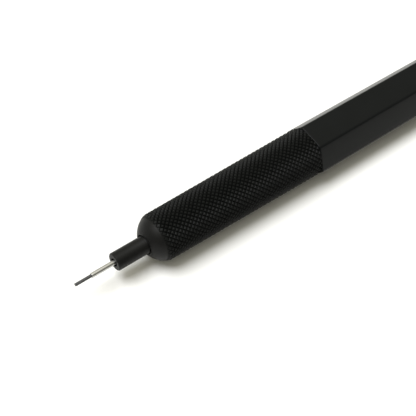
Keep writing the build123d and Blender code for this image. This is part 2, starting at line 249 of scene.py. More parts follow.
def turning_marks(tree, spacing):
    """Fine rings round the axis, as a lathe tool leaves, uneven along the piece. Spacing in metres."""
    stretch = (1.0, ACROSS_SHARE, ACROSS_SHARE)
    mostly_x = add_node(
        tree,
        "ShaderNodeVectorMath",
        {0: object_place(tree), 1: stretch},
        operation="MULTIPLY",
    )
    return add_node(
        tree,
        "ShaderNodeTexNoise",
        {"Vector": mostly_x.outputs[0], "Scale": 1 / spacing, "Detail": 2.0, "Roughness": 0.6},
    ).outputs["Fac"]


steel, tree, shader = new_finish("bright_steel", Metallic=1.0)
marks = turning_marks(tree, STEEL_MARKS)
coloured(tree, shader, marks, dark=(0.45, 0.45, 0.44), light=(0.58, 0.575, 0.56))
polished(tree, shader, marks, smoothest=0.27, roughest=0.38)
bumped(tree, shader, marks, depth=0.0004 * MM)

front, rear = behind_tip(sleeve_front.x), behind_tip(sleeve_rear.x)
sleeve = turned(
    "steel_sleeve",
    [
        (front, SLEEVE_BORE_R, SLEEVE_BORE_EDGE),
        (front, SLEEVE_R, SLEEVE_EDGE),
        (rear, SLEEVE_R),
        (rear, SLEEVE_BORE_R),
    ],
    sides=64,
)
sleeve.data.materials.append(steel)
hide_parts("guide_sleeve")
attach(sleeve, "carrier")

# ==== The tip holder ============================================================================
# A round shaft turned from brass and lacquered black. Its end is faced square, bevelled round the
# rim and recessed round the sleeve. A wider body inside the grip holds the chuck.

holder_front, holder_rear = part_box("tip_holder")
HOLDER_R = 1.45
HOLDER_GUIDE_R = 1.62
HOLDER_BODY_R = 2.3
HOLDER_BEVEL = 0.15
BODY_EDGE = 0.1
RECESS_R = 0.7
RECESS_DEPTH = 0.55
RECESS_EDGE = 0.05
NOSE_LIP = 0.6
FACE_GAP = 0.05
TURNING_PITCH = 0.22 * MM
front, rear = behind_tip(holder_front.x), behind_tip(holder_rear.x)
nose_front = behind_tip(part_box("grip")[0].x)
bush_rear = behind_tip(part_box("nose_bush")[1].x)


def maths(tree, operation, *values):
    """The result of one Math node."""
    node = add_node(tree, "ShaderNodeMath", dict(enumerate(values)), operation=operation)
    return node.outputs[0]


def lacquer(name, dark, light, smoothest, roughest, shine, peel, turning=0.0):
    """Baked black lacquer: near black, with a faint orange peel, over a turned or a drawn surface.

    Peel and turning are the depths in metres of the peel and of the tool marks under it.
    """
    finish, tree, shader = new_finish(name, Specular_IOR_Level=shine)
    place = object_place(tree)
    cloud = noise(tree, place, scale=260.0, detail=4.0)
    fine = noise(tree, place, scale=5200.0, detail=2.0)
    coloured(tree, shader, cloud, dark, light)
    polished(tree, shader, fine, smoothest, roughest)
    relief = maths(tree, "MULTIPLY", fine, peel)
    if turning:
        rings = turning_marks(tree, TURNING_PITCH)
        relief = maths(tree, "MULTIPLY_ADD", rings, turning, relief)
    bumped(tree, shader, relief, depth=1.0)
    return finish


turned_lacquer = lacquer(
    "turned_lacquer",
    dark=(0.003, 0.003, 0.003),
    light=(0.006, 0.006, 0.0058),
    smoothest=0.4,
    roughest=0.54,
    shine=0.17,
    peel=0.004 * MM,
    turning=0.012 * MM,
)

holder = turned(
    "tip_shaft",
    [
        (front, RECESS_R, RECESS_EDGE),
        (front, HOLDER_R - HOLDER_BEVEL, 0.03),
        (front + HOLDER_BEVEL, HOLDER_R, 0.04),
        (nose_front, HOLDER_R),
        (nose_front + NOSE_LIP, HOLDER_GUIDE_R),
        (bush_rear + FACE_GAP, HOLDER_GUIDE_R),
        (bush_rear + FACE_GAP, HOLDER_BODY_R, BODY_EDGE),
        (rear, HOLDER_BODY_R, BODY_EDGE),
        (rear, SLEEVE_R),
        (front + RECESS_DEPTH, SLEEVE_R),
        (front + RECESS_DEPTH, RECESS_R),
    ],
)
holder.data.materials.append(turned_lacquer)
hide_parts("tip_holder")
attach(holder, "carrier")

# ==== The grip ==================================================================================
# Turned from one brass bar with a slight taper and a blunt nose, cut all over with a diamond
# knurl by two crossing sets of 45 degree grooves, and then lacquered black.

NOSE_LENGTH = 1.68
NOSE_FACE_R = 1.9
SHOULDER_DROP = 0.36        # the knurl is turned down by this at its front end
SHOULDER_LENGTH = 1.1
GRIP_FRONT_R = 3.93
GRIP_REAR_R = 4.25
GRIP_BORE_R = 2.45
NOSE_BORE_R = 1.66
KNURL_DEPTH = 0.23
KNURL_STARTS = 30
KNURL_PITCH = 0.85
KNURL_UNEVENNESS = 0.12     # how much of its height a crest may lack
TOOTH_TOP = 0.26            # width of a crest's flat top, as a share of its foot
CREST_CURVE = 0.8           # power that swells a tooth's straight flanks
LINING = 0.1
MERGE_DISTANCE = 0.003 * MM
UNDERSIDE = -0.5            # a face whose normal is lower than this is a tooth's base
knurl_front = nose_front + NOSE_LENGTH
knurl_rear = behind_tip(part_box("grip")[1].x)

crest_lacquer, tree, shader = new_finish("knurl_lacquer", Specular_IOR_Level=0.08)
place = object_place(tree)
crest = add_node(tree, "ShaderNodeAttribute", attribute_name="crest").outputs["Fac"]
cloud = noise(tree, place, scale=900.0, detail=4.0)
fine = noise(tree, place, scale=6500.0, detail=2.0)
# Painted shade and wear: the lacquer is darker down in the grooves, where shade falls, and lighter on
# the rubbed crests, by each point's crest height, varied by a cloud.
wear_and_groove_shade = maths(tree, "MULTIPLY", crest, cloud)
coloured(tree, shader, wear_and_groove_shade, dark=(0.002, 0.0022, 0.0021), light=(0.0125, 0.0135, 0.0128))
polished(tree, shader, fine, smoothest=0.4, roughest=0.55)
bumped(tree, shader, fine, depth=0.004 * MM)


def knurl_nodes():
    """The knurl: one four-sided tooth at each crossing, laid out flat and then wrapped on a cone."""
    tree = bpy.data.node_groups.new("diamond_knurl", "GeometryNodeTree")
    given = {}
    for title, kind in (
        ("Front", "Float"), ("Rear", "Float"), ("Front Radius", "Float"), ("Rear Radius", "Float"),
        ("Axis Height", "Float"), ("Depth", "Float"), ("Tooth Top", "Float"), ("Unevenness", "Float"),
        ("Shoulder Drop", "Float"), ("Shoulder Length", "Float"),
        ("Columns", "Int"), ("Starts", "Int"), ("Finish", "Material"),
    ):
        given[title] = tree.interface.new_socket(title, in_out="INPUT", socket_type="NodeSocket" + kind)
    tree.interface.new_socket("Geometry", in_out="OUTPUT", socket_type="NodeSocketGeometry")
    inputs = tree.nodes.new("NodeGroupInput").outputs

    def worked(operation, *values):
        """The result of one Math node of this tree."""
        return maths(tree, operation, *values)

    half = worked("DIVIDE", inputs["Columns"], 2.0)
    last_row = worked("SUBTRACT", inputs["Starts"], 1.0)
    height = worked("MULTIPLY", last_row, 2.0)
    sets = []
    for fewer in (0, 1):
        width = worked("SUBTRACT", inputs["Columns"], 2.0 * fewer)
        across = worked("SUBTRACT", worked("ADD", half, 1.0), float(fewer))
        grid = add_node(
            tree,
            "GeometryNodeMeshGrid",
            {"Size X": width, "Size Y": height, "Vertices X": across, "Vertices Y": inputs["Starts"]},
        )
        centre = add_node(
            tree,
            "ShaderNodeCombineXYZ",
            {0: half, 1: worked("ADD", last_row, float(fewer))},
        )
        sets.append(add_node(
            tree,
            "GeometryNodeTransform",
            {"Geometry": grid.outputs["Mesh"], "Translation": centre.outputs[0]},
        ))
    crossings = add_node(tree, "GeometryNodeJoinGeometry")
    for one in sets:
        tree.links.new(one.outputs[0], crossings.inputs[0])

    tooth = add_node(
        tree,
        "GeometryNodeMeshCone",
        {
            "Vertices": 4, "Side Segments": 3, "Radius Top": inputs["Tooth Top"],
            "Radius Bottom": 1.0, "Depth": 1.0,
        },
    )
    facing = tree.nodes.new("GeometryNodeInputNormal").outputs[0]
    normal = add_node(tree, "ShaderNodeSeparateXYZ", {0: facing})
    underside = add_node(
        tree,
        "FunctionNodeCompare",
        {0: normal.outputs["Z"], 1: UNDERSIDE},
        operation="LESS_THAN",
    )
    open_tooth = add_node(
        tree,
        "GeometryNodeDeleteGeometry",
        {"Geometry": tooth.outputs["Mesh"], "Selection": underside.outputs[0]},
        domain="FACE",
    )
    teeth = add_node(
        tree,
        "GeometryNodeInstanceOnPoints",
        {"Points": crossings.outputs[0], "Instance": open_tooth.outputs[0]},
    )
    flat = add_node(tree, "GeometryNodeRealizeInstances", {"Geometry": teeth.outputs[0]})

    position = tree.nodes.new("GeometryNodeInputPosition").outputs[0]
    where = add_node(tree, "ShaderNodeSeparateXYZ", {0: position})
    level = worked("POWER", where.outputs["Z"], CREST_CURVE)
    # Each point's height in its tooth is kept as crest, from which the lacquer paints shade in the
    # grooves and wear on the crests.
    marked = add_node(
        tree,
        "GeometryNodeStoreNamedAttribute",
        {"Geometry": flat.outputs[0], "Name": "crest", "Value": level},
        data_type="FLOAT",
        domain="POINT",
    )
    column = worked("MINIMUM", worked("MAXIMUM", where.outputs["X"], 0.0), inputs["Columns"])
    share = worked("DIVIDE", column, inputs["Columns"])
    x = add_node(
        tree,
        "ShaderNodeMapRange",
        {"Value": share, "To Min": inputs["Front"], "To Max": inputs["Rear"]},
    )
    crest_radius = add_node(
        tree,
        "ShaderNodeMapRange",
        {"Value": share, "To Min": inputs["Front Radius"], "To Max": inputs["Rear Radius"]},
    )
    turn = worked("MULTIPLY", worked("DIVIDE", where.outputs["Y"], inputs["Starts"]), -math.pi)
    ring = add_node(
        tree,
        "ShaderNodeCombineXYZ",
        {0: column, 1: worked("COSINE", turn), 2: worked("SINE", turn)},
    )
    wander = noise(tree, ring.outputs[0], scale=1.7, detail=2.0)
    worn = worked("MULTIPLY", worked("MULTIPLY", wander, inputs["Unevenness"]), level)
    below_crest = worked("SUBTRACT", worked("SUBTRACT", level, worn), 1.0)
    cut = worked("MULTIPLY", below_crest, inputs["Depth"])
    knurled = worked("ADD", crest_radius.outputs[0], cut)
    from_front = worked("SUBTRACT", x.outputs[0], inputs["Front"])
    onto_shoulder = worked("DIVIDE", from_front, inputs["Shoulder Length"])
    short_of = worked("MAXIMUM", worked("SUBTRACT", 1.0, onto_shoulder), 0.0)
    drop = worked("MULTIPLY", worked("POWER", short_of, 2.0), inputs["Shoulder Drop"])
    radius = worked("MINIMUM", knurled, worked("SUBTRACT", crest_radius.outputs[0], drop))
    wrapped = add_node(
        tree,
        "ShaderNodeCombineXYZ",
        {
            0: x.outputs[0],
            1: worked("MULTIPLY", radius, worked("COSINE", turn)),
            2: worked("ADD", worked("MULTIPLY", radius, worked("SINE", turn)), inputs["Axis Height"]),
        },
    )
    shaped = add_node(
        tree,
        "GeometryNodeSetPosition",
        {"Geometry": marked.outputs[0], "Position": wrapped.outputs[0]},
    )
    welded = add_node(
        tree,
        "GeometryNodeMergeByDistance",
        {"Geometry": shaped.outputs[0], "Distance": MERGE_DISTANCE},
    )
    whole = add_node(tree, "GeometryNodeRealizeInstances", {"Geometry": welded.outputs[0]})
    lacquered = add_node(
        tree,
        "GeometryNodeSetMaterial",
        {"Geometry": whole.outputs[0], "Material": inputs["Finish"]},
    )
    output = tree.nodes.new("NodeGroupOutput")
    tree.links.new(lacquered.outputs[0], output.inputs[0])
    return tree, {title: socket.identifier for title, socket in given.items()}


knurl_tree, knurl_inputs = knurl_nodes()


def plain_copy(carrier, name):
    """The evaluated result of a modifier as a plain mesh, and the carrier cleared away."""
    graph = bpy.context.evaluated_depsgraph_get()
    mesh = bpy.data.meshes.new_from_object(carrier.evaluated_get(graph))
    carrier.modifiers.clear()
    bpy.data.objects.remove(carrier)
    mesh.name = name
    return mesh


def knurled_band(name, front, rear, front_radius, rear_radius, drop):
    """A closed knurled band between two places, with a plain lining under its grooves."""
    columns = 2 * round((rear - front) / KNURL_PITCH)
    carrier = new_object(name, bpy.data.meshes.new(name))
    modifier = carrier.modifiers.new("knurl", "NODES")
    modifier.node_group = knurl_tree
    for title, value in {
        "Front": along(front), "Rear": along(rear), "Front Radius": front_radius * MM,
        "Rear Radius": rear_radius * MM, "Axis Height": AXIS_HEIGHT, "Depth": KNURL_DEPTH * MM,
        "Tooth Top": TOOTH_TOP, "Unevenness": KNURL_UNEVENNESS, "Shoulder Drop": drop * MM,
        "Shoulder Length": SHOULDER_LENGTH * MM, "Columns": columns, "Starts": KNURL_STARTS,
        "Finish": crest_lacquer,
    }.items():
        modifier[knurl_inputs[title]] = value
    mesh = plain_copy(carrier, name)
    # The tooth brings an empty slot of its own, in front of the lacquer's.
    mesh.materials.pop(index=0)
    solid = bmesh.new()
    solid.from_mesh(mesh)
    inner_loops = []
    rims = [edge for edge in solid.edges if edge.is_boundary]
    for at_front in (True, False):
        middle = along((front + rear) / 2)
        rim = [edge for edge in rims if (edge.verts[0].co.x < middle) == at_front]
        grown = bmesh.ops.extrude_edge_only(solid, edges=rim)["geom"]
        for vertex in (item for item in grown if isinstance(item, bmesh.types.BMVert)):
            spoke = Vector((0, vertex.co.y, vertex.co.z - AXIS_HEIGHT))
            vertex.co -= spoke.normalized() * LINING * MM
        inner_loops += [item for item in grown if isinstance(item, bmesh.types.BMEdge)]
    bmesh.ops.bridge_loops(solid, edges=inner_loops)
    bmesh.ops.recalc_face_normals(solid, faces=solid.faces)
    solid.to_mesh(mesh)
    solid.free()
    mesh.shade_flat()
    return new_object(name, mesh)


def joined(name, *pieces):
    """One object made of several closed shells."""
    solid = bmesh.new()
    finishes = []
    for piece in pieces:
        start = len(finishes)
        known = len(solid.faces)
        solid.from_mesh(piece.data)
        solid.faces.ensure_lookup_table()
        for face in solid.faces[known:]:
            face.material_index += start
        finishes += list(piece.data.materials)
    mesh = bpy.data.meshes.new(name)
    solid.to_mesh(mesh)
    solid.free()
    for finish in finishes:
        mesh.materials.append(finish)
    for piece in pieces:
        bpy.data.objects.remove(piece)
    return new_object(name, mesh)


GROOVE_FLOOR = KNURL_DEPTH + 0.03
grip_core = turned(
    "grip_core",
    [
        (nose_front, NOSE_BORE_R, 0.04),
        (nose_front, NOSE_FACE_R, 0.05),
        (nose_front + 0.35, 2.42),
        (nose_front + 0.8, 2.93),
        (nose_front + 1.25, 3.31),
        (knurl_front, GRIP_FRONT_R - SHOULDER_DROP),
        (knurl_front + 0.02, GRIP_FRONT_R - SHOULDER_DROP - 0.04),
        (knurl_rear - 0.02, GRIP_REAR_R - GROOVE_FLOOR),
        (knurl_rear, GRIP_REAR_R - GROOVE_FLOOR),
        (knurl_rear, GRIP_BORE_R),
        (bush_rear, GRIP_BORE_R),
        (bush_rear, NOSE_BORE_R),
    ],
)
grip_core.data.materials.append(turned_lacquer)
grip_band = knurled_band(
    "grip_band", knurl_front, knurl_rear, GRIP_FRONT_R, GRIP_REAR_R, drop=SHOULDER_DROP
)
grip = joined("knurled_grip", grip_core, grip_band)
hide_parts("grip")
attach(grip, "barrel")

# ==== The hexagonal barrel ======================================================================
# Drawn hexagonal brass tube, its long edges rounded by the drawing, its front end bevelled. It is
# lacquered matt black. A turned seat at the rear carries the clip's band.

barrel_front, barrel_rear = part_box("hex_barrel")
band_front, band_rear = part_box("clip_band")
HEX_FLATS = 8.2
HEX_CORNER_R = 0.6
HEX_CROWN = 0.03
FLAT_STEPS = 8
HEX_BEVEL = 0.12
HEX_REAR_BEVEL = 0.2
BEVEL_BREAK = 0.3           # where the front bevel turns from steep to shallow, as a share of it
BEVEL_MARGIN = 0.06
BARREL_BORE_R = 3.4
SEAT_R = 3.9
CORNER_STEPS = 8

hex_lacquer = lacquer(
    "barrel_lacquer",
    dark=(0.0052, 0.0059, 0.006),
    light=(0.0074, 0.0082, 0.0085),
    smoothest=0.26,
    roughest=0.34,
    shine=0.095,
    peel=0.002 * MM,
)


def hexagon(inset):
    """The barrel's outline as (y, height above the axis), in millimetres, brought in by an inset.

    Its corners are round, and each flat is very slightly crowned, as the die leaves it.
    """
    flat = HEX_FLATS / 2 - inset
    half_flat = (flat - HEX_CORNER_R) * math.tan(math.pi / 6)
    corner = half_flat / math.sin(math.pi / 6)
    points = []
    for side in range(6):
        heading = math.pi / 3 * side
        centre = Vector((math.cos(heading), math.sin(heading))) * corner
        for step in range(CORNER_STEPS + 1):
            turn = heading + math.pi / 3 * (step / CORNER_STEPS - 0.5)
            spoke = Vector((math.cos(turn), math.sin(turn)))
            points.append(centre + spoke * (HEX_CORNER_R - HEX_CROWN))
        outward = Vector((math.cos(heading + math.pi / 6), math.sin(heading + math.pi / 6)))
        across = Vector((-outward.y, outward.x))
        for step in range(1, FLAT_STEPS):
            share = 2 * step / FLAT_STEPS - 1
            points.append(outward * (flat - HEX_CROWN * share**2) + across * half_flat * share)
    return points


solid = bmesh.new()
hex_front = behind_tip(barrel_front.x)
hex_rear = behind_tip(band_front.x) - FACE_GAP
seat_rear = behind_tip(barrel_rear.x)
loops = []
for place, inset in (
    (hex_front, HEX_BEVEL),
    (hex_front + HEX_BEVEL * BEVEL_BREAK, HEX_BEVEL * BEVEL_BREAK),
    (hex_front + HEX_BEVEL, 0),
    (hex_front + HEX_BEVEL + BEVEL_MARGIN, 0),
    (hex_rear - HEX_REAR_BEVEL - BEVEL_MARGIN, 0),
    (hex_rear - HEX_REAR_BEVEL, 0),
    (hex_rear, HEX_REAR_BEVEL),
):
    loops.append([(place, *point) for point in hexagon(inset)])
headings = [math.atan2(point.y, point.x) for point in hexagon(0)]
for place, radius in (
    (hex_rear, SEAT_R),
    (seat_rear, SEAT_R),
    (seat_rear, BARREL_BORE_R),
    (hex_front, BARREL_BORE_R),
):
    loops.append([(place, radius * math.cos(turn), radius * math.sin(turn)) for turn in headings])
rings = [
    [solid.verts.new((along(place), y * MM, AXIS_HEIGHT + height * MM)) for place, y, height in loop]
    for loop in loops
]
for ring, after in zip(rings, rings[1:] + rings[:1]):
    for index in range(len(ring)):
        nearby = (index + 1) % len(ring)
        solid.faces.new((ring[index], after[index], after[nearby], ring[nearby]))
barrel = new_object("hexagonal_barrel", finished_mesh("hexagonal_barrel", solid, sharp_angle=28))
barrel.data.materials.append(hex_lacquer)
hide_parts("hex_barrel")
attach(barrel, "barrel")

# ==== The clip ==================================================================================
# A strip of spring steel, bent and blacked, with a turned-up lip at the end that touches the
# barrel. It stands on a boss of the band, which slides over the barrel's seat.

clip_low, clip_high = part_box("clip_arm")
CLIP_T = 0.7
CLIP_W = (clip_high.y - clip_low.y) / MM
CLIP_TOUCH = 81.5           # where the arm comes closest to the barrel
CLIP_STAND_OFF = 0.15
CLIP_LIP = 0.75             # rise of the turned-up lip
CLIP_EDGE = 0.14
CLIP_SPACING = 1.2          # rough length of the arm between two cross sections
CURVE_STEPS = 6
TONGUE_STEPS = 10
TONGUE = CLIP_W / 2         # the arm's front end is a half round of this radius
TIP_WIDTH_SQUARED = 0.02    # keeps the first cross section open
arm_under = (clip_high.z - AXIS_HEIGHT) / MM - CLIP_T
touch_under = HEX_FLATS / 2 + CLIP_STAND_OFF
clip_front, clip_rear = behind_tip(clip_low.x), behind_tip(clip_high.x)
bend_at = behind_tip(band_front.x)


def bent_line(corners):
    """A line of (place, height), bent round each inner corner over the length of its third value."""
    points = [Vector(corners[0][:2])]
    for before, corner, after in zip(corners, corners[1:], corners[2:]):
        here = Vector(corner[:2])
        start = here + (Vector(before[:2]) - here).normalized() * corner[2]
        stop = here + (Vector(after[:2]) - here).normalized() * corner[2]
        for step in range(CURVE_STEPS + 1):
            share = step / CURVE_STEPS
            points.append(start.lerp(here, share).lerp(here.lerp(stop, share), share))
    points.append(Vector(corners[-1][:2]))
    return points


def divided(points):
    """A line with no stretch much longer than the clip's spacing."""
    spaced = []
    for start, stop in zip(points, points[1:]):
        parts = max(1, round((stop - start).length / CLIP_SPACING))
        spaced += [start.lerp(stop, part / parts) for part in range(parts)]
    return spaced + [points[-1]]


def with_round_front(points):
    """The same line with its first points close together, as the round tongue needs."""
    tip = points[0]
    end = tip + (points[2] - tip).normalized() * TONGUE
    front = []
    for step in range(TONGUE_STEPS):
        front.append(tip.lerp(end, 1 - math.cos(math.pi / 2 * step / TONGUE_STEPS)))
    past_front = (front[-1] - tip).length + 0.2
    return front + [point for point in points if (point - tip).length > past_front]


half_thick = CLIP_T / 2
line = with_round_front(divided(bent_line([
    (clip_front + 0.1, touch_under + CLIP_LIP + half_thick),
    (CLIP_TOUCH, touch_under + half_thick + 0.02, 1.4),
    (bend_at, arm_under + half_thick, 1.5),
    (clip_rear, arm_under + half_thick),
])))

solid = bmesh.new()
rings = []
for index, point in enumerate(line):
    before, after = line[max(index - 1, 0)], line[min(index + 1, len(line) - 1)]
    heading = (after - before).normalized()
    lift = Vector((-heading.y, heading.x))
    from_end = (point - line[0]).length
    half_width = CLIP_W / 2
    if from_end < TONGUE:
        half_width = math.sqrt(max(TONGUE**2 - (TONGUE - from_end) ** 2, TIP_WIDTH_SQUARED))
    edge = min(CLIP_EDGE, half_width * 0.5)
    ring = []
    for y_sign, z_sign in ((1, 1), (-1, 1), (-1, -1), (1, -1)):
        corner = [
            (half_width - edge * (1 - math.cos(turn)), half_thick - edge * (1 - math.sin(turn)))
            for turn in (math.pi / 2 * step / 3 for step in range(4))
        ]
        if y_sign * z_sign < 0:
            corner.reverse()
        for y, z in corner:
            spot = point + lift * z * z_sign
            ring.append(solid.verts.new((along(spot.x), y * y_sign * MM, AXIS_HEIGHT + spot.y * MM)))
    rings.append(ring)
for ring, after in zip(rings, rings[1:]):
    for index in range(len(ring)):
        nearby = (index + 1) % len(ring)
        solid.faces.new((ring[index], after[index], after[nearby], ring[nearby]))
solid.faces.new(rings[0])
solid.faces.new(rings[-1])
clip = new_object("spring_clip", finished_mesh("spring_clip", solid, sharp_angle=35))
clip_lacquer = lacquer(
    "clip_lacquer",
    dark=(0.006, 0.006, 0.006),
    light=(0.01, 0.01, 0.01),
    smoothest=0.24,
    roughest=0.32,
    shine=0.2,
    peel=0.002 * MM,
)
clip.data.materials.append(clip_lacquer)
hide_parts("clip_arm")
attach(clip, "clip")

BAND_R = 4.18
BAND_EDGE = 0.12
BOSS_EDGE = 0.22
BOSS_SINK = 0.05            # the boss starts this far outside the seat, inside the band's wall
front, rear = behind_tip(band_front.x), behind_tip(band_rear.x)
ring_part = turned(
    "band_ring",
    [(front, SEAT_R), (front, BAND_R, BAND_EDGE), (rear, BAND_R, BAND_EDGE), (rear, SEAT_R)],
)
solid = bmesh.new()
bmesh.ops.create_cube(solid, size=1)
boss_top = band_rear.z
boss_low = AXIS_HEIGHT + (SEAT_R + BOSS_SINK) * MM
for vertex in solid.verts:
    vertex.co.x = band_front.x if vertex.co.x < 0 else band_rear.x
    vertex.co.y *= CLIP_W * MM
    vertex.co.z = boss_low if vertex.co.z < 0 else boss_top
bmesh.ops.bevel(
    solid, geom=solid.edges[:], offset=BOSS_EDGE * MM, segments=3, profile=0.5, affect="EDGES"
)
boss_part = new_object("band_boss", finished_mesh("band_boss", solid))
band = joined("clip_ring", ring_part, boss_part)
band.data.materials.clear()
band.data.materials.append(clip_lacquer)
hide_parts("clip_band")
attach(band, "barrel")

# ==== The trim ring =============================================================================
# A narrow turned steel ring, left bright, that closes the barrel in front of the knob.

trim_low, trim_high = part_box("trim_ring")
TRIM_R = 4.12
TRIM_EDGE = 0.14
front, rear = behind_tip(trim_low.x), behind_tip(trim_high.x)
trim = turned(
    "bright_ring",
    [(front, SEAT_R), (front, TRIM_R, TRIM_EDGE), (rear, TRIM_R, TRIM_EDGE), (rear, SEAT_R)],
)
trim.data.materials.append(steel)
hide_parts("trim_ring")
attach(trim, "barrel")

# ==== The twist knob ============================================================================
# Turned like the grip and cut with the same knurl between two plain rims. Its long spigot runs in
# the barrel and carries the cam sleeve.

knob_low, knob_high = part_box("twist_knob")
KNOB_BORE_R = 2.8
SPIGOT_R = 3.1
KNOB_RIM = 1.3
KNOB_R = 4.21
RIM_DROP = 0.02             # the plain rims lie this far under the knurl's crests
RIM_FRONT_EDGE = 0.4
RIM_REAR_EDGE = 0.5
RIM_SLOPE = 0.15
KNOB_GAP = 0.2
COLLAR_LENGTH = 3
COLLAR_EDGE = 0.1
GROOVE_HALF = 0.3
GROOVE_DEPTH = 0.1
COUNTERSINK = 0.2
collar_r = BARREL_BORE_R - 0.05
knob_front = seat_rear + KNOB_GAP
knob_rear = behind_tip(knob_high.x)
collar_front = behind_tip(knob_low.x)
ring_groove = behind_tip((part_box("knob_ring")[0].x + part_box("knob_ring")[1].x) / 2)
rim_inner = knob_front + KNOB_RIM
rim_outer = knob_rear - KNOB_RIM
knob_core = turned(
    "knob_core",
    [
        (collar_front, KNOB_BORE_R),
        (collar_front, collar_r, COLLAR_EDGE),
        (collar_front + COLLAR_LENGTH, collar_r, COLLAR_EDGE),
        (collar_front + COLLAR_LENGTH, SPIGOT_R),
        (ring_groove - GROOVE_HALF, SPIGOT_R),
        (ring_groove - GROOVE_HALF, SPIGOT_R - GROOVE_DEPTH),
        (ring_groove + GROOVE_HALF, SPIGOT_R - GROOVE_DEPTH),
        (ring_groove + GROOVE_HALF, SPIGOT_R),
        (knob_front, SPIGOT_R),
        (knob_front, KNOB_R - RIM_FRONT_EDGE, 0.1),
        (knob_front + RIM_FRONT_EDGE, KNOB_R - RIM_DROP, 0.15),
        (rim_inner - RIM_SLOPE, KNOB_R - RIM_DROP, 0.1),
        (rim_inner, KNOB_R - GROOVE_FLOOR),
        (rim_outer, KNOB_R - GROOVE_FLOOR),
        (rim_outer + RIM_SLOPE, KNOB_R - RIM_DROP, 0.1),
        (knob_rear - RIM_REAR_EDGE, KNOB_R - RIM_DROP, 0.2),
        (knob_rear, KNOB_R - RIM_REAR_EDGE, 0.1),
        (knob_rear, KNOB_BORE_R + 0.15, 0.05),
        (knob_rear - COUNTERSINK, KNOB_BORE_R),
    ],
)
knob_core.data.materials.append(turned_lacquer)
knob_band = knurled_band("knob_band", rim_inner, rim_outer, KNOB_R, KNOB_R, drop=0.05)
knob = joined("knurled_knob", knob_core, knob_band)
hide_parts("twist_knob")
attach(knob, "knob")

# ==== The push cap ==============================================================================
# A drawn brass cap, lacquered black, that grips the eraser cup. Its end is domed where the thumb
# pushes, with a shallow dish in the middle.

cap_low, cap_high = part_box("push_cap")
CAP_R = 2.7
CAP_BORE_R = 2.05
CAP_WALL = 1
CAP_INSET = 0.02            # the rim's crown ends this far short of the solid
DISH_R = 1.6
DISH_DEPTH = 0.2
front, rear = behind_tip(cap_low.x), behind_tip(cap_high.x)
cap = turned(
    "thumb_cap",
    [
        (front, CAP_BORE_R),
        (front, CAP_R, 0.1),
        (rear - 0.45, CAP_R, 0.3),
        (rear - CAP_INSET, CAP_R - 0.55, 0.3),
        (rear - CAP_INSET, DISH_R, 0.2),
        (rear - 0.16, 0.9),
        (rear - DISH_DEPTH, 0),
        (rear - CAP_WALL, 0),
        (rear - CAP_WALL, CAP_BORE_R, 0.2),
    ],
)
cap.data.materials.append(turned_lacquer)
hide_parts("push_cap")
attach(cap, "cap")

# ==== The eraser ================================================================================
# A short stick of white vinyl, extruded and cut, with a slightly rounded end and a dusty surface.

vinyl, tree, shader = new_finish(
    "eraser_vinyl", Roughness=0.62, Subsurface_Weight=0.15, Subsurface_Scale=0.6 * MM
)
dust = noise(tree, object_place(tree), scale=1400.0, detail=5.0)
coloured(tree, shader, dust, dark=(0.74, 0.735, 0.71), light=(0.9, 0.895, 0.88))
bumped(tree, shader, dust, depth=0.01 * MM)

eraser_low, eraser_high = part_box("eraser")
ERASER_R = 1.6
ERASER_CUT_EDGE = 0.1
ERASER_WORN_EDGE = 0.5
front, rear = behind_tip(eraser_low.x), behind_tip(eraser_high.x)
eraser = turned(
    "eraser_stick",
    [
        (front, 0),
        (front, ERASER_R, ERASER_CUT_EDGE),
        (rear, ERASER_R, ERASER_WORN_EDGE),
        (rear, 0),
    ],
    sides=72,
)
eraser.data.materials.append(vinyl)
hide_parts("eraser")
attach(eraser, "eraser")

# ==== The pieces inside =========================================================================
# Brass turnings, two steel pins and a snap ring, rubber rings and a moulded lead tube. They keep
# their solids, and take the finish of what they are made of.

BRASS_MARKS = 0.12 * MM
brass, tree, shader = new_finish("turned_brass", Metallic=1.0)
marks = turning_marks(tree, BRASS_MARKS)
coloured(tree, shader, marks, dark=(0.62, 0.45, 0.2), light=(0.83, 0.65, 0.34))
polished(tree, shader, marks, smoothest=0.22, roughest=0.38)
bumped(tree, shader, marks, depth=0.0015 * MM)

black_rubber, tree, shader = new_finish("black_rubber", Roughness=0.7)
skin = noise(tree, object_place(tree), scale=3000.0, detail=3.0)
coloured(tree, shader, skin, dark=(0.012, 0.012, 0.012), light=(0.03, 0.03, 0.03))
bumped(tree, shader, skin, depth=0.006 * MM)

milky_plastic, tree, shader = new_finish("milky_plastic", Roughness=0.45)
haze = noise(tree, object_place(tree), scale=500.0, detail=3.0)
coloured(tree, shader, haze, dark=(0.66, 0.67, 0.65), light=(0.8, 0.81, 0.79))
bumped(tree, shader, haze, depth=0.01 * MM)

for finish, nodes in (
    (brass, (
        "nose_bush", "coupling_bush", "guide_tube", "thrust_washer", "cam_sleeve", "spring_seat",
        "mechanism_tube", "chuck", "clutch_ring", "eraser_cup",
    )),
    (steel, ("retaining_ring", "follower_pins")),
    (black_rubber, ("knob_ring", "lead_retainer")),
    (milky_plastic, ("lead_tube",)),
):
    for node in nodes:
        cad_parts[node].data.materials.clear()
        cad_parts[node].data.materials.append(finish)

# ==== The chuck's spring ========================================================================
# A compression spring of round steel wire round the chuck's shank. It is squeezed between its
# seat and the lead tube as the cap is pressed.

spring_low, spring_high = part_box("chuck_spring")
SPRING_TURNS = 8
WIRE_R = 0.14
SPRING_R = (spring_high.y - spring_low.y) / 2 / MM - WIRE_R


